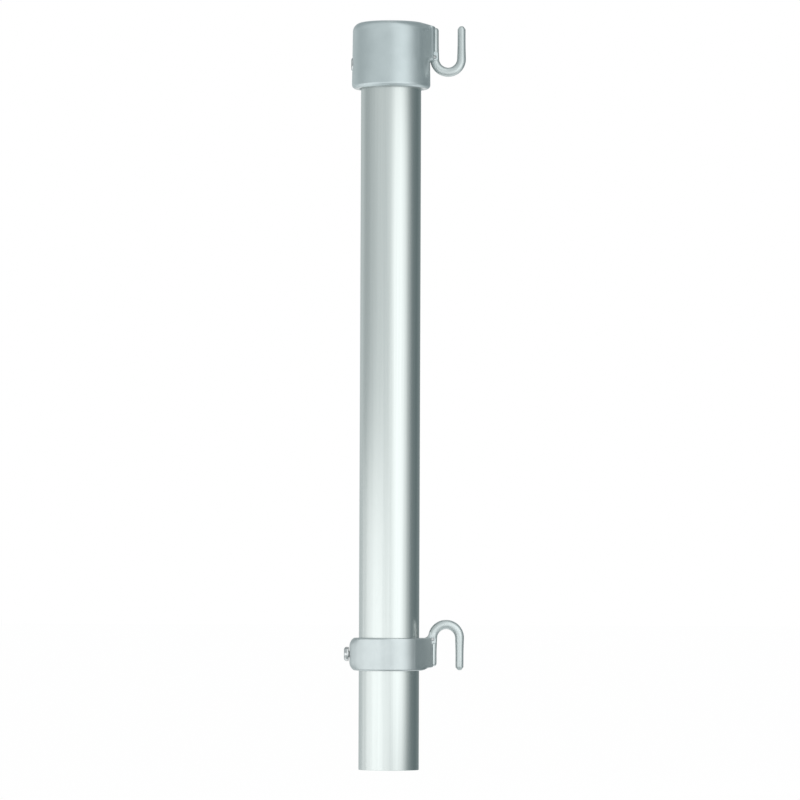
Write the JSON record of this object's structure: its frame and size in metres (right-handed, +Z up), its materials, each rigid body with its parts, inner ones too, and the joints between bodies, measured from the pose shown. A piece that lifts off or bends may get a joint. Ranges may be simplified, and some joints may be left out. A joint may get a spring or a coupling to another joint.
{
  "type": "flagpole head section",
  "caption": "head section of a sectional aluminium flagpole: round tube with a cast cap and a sliding collar, each with a J-hook that holds the flag's edge between them",
  "frame": {"origin": "on the pole's axis, in the plane of the tube's lower rim", "axes": "+Z up along the pole, +X towards the hooks, the screws on -X, +Y across"},
  "size_m": [0.0996, 0.0652, 0.62],
  "materials": {
    "tube_aluminium": "silver anodised, finely drawn along its length",
    "casting_aluminium": "satin grey cast aluminium",
    "pin_steel": "plain steel pin end",
    "screw_steel": "bright stainless steel"
  },
  "bodies": {
    "pole": {"pole_tube": "tube_aluminium", "cap": "casting_aluminium", "cap_hook": "casting_aluminium", "cap_hook_pin": "pin_steel", "cap_screw": "screw_steel"},
    "collar": {"collar": "casting_aluminium", "collar_hook": "casting_aluminium", "collar_hook_pin": "pin_steel", "collar_screw": "screw_steel"}
  },
  "joints": [
    {"name": "collar_slide", "type": "slide", "parent": "pole", "child": "collar", "axis": [0, 0, 1], "range_m": [-0.075, 0.44]}
  ]
}
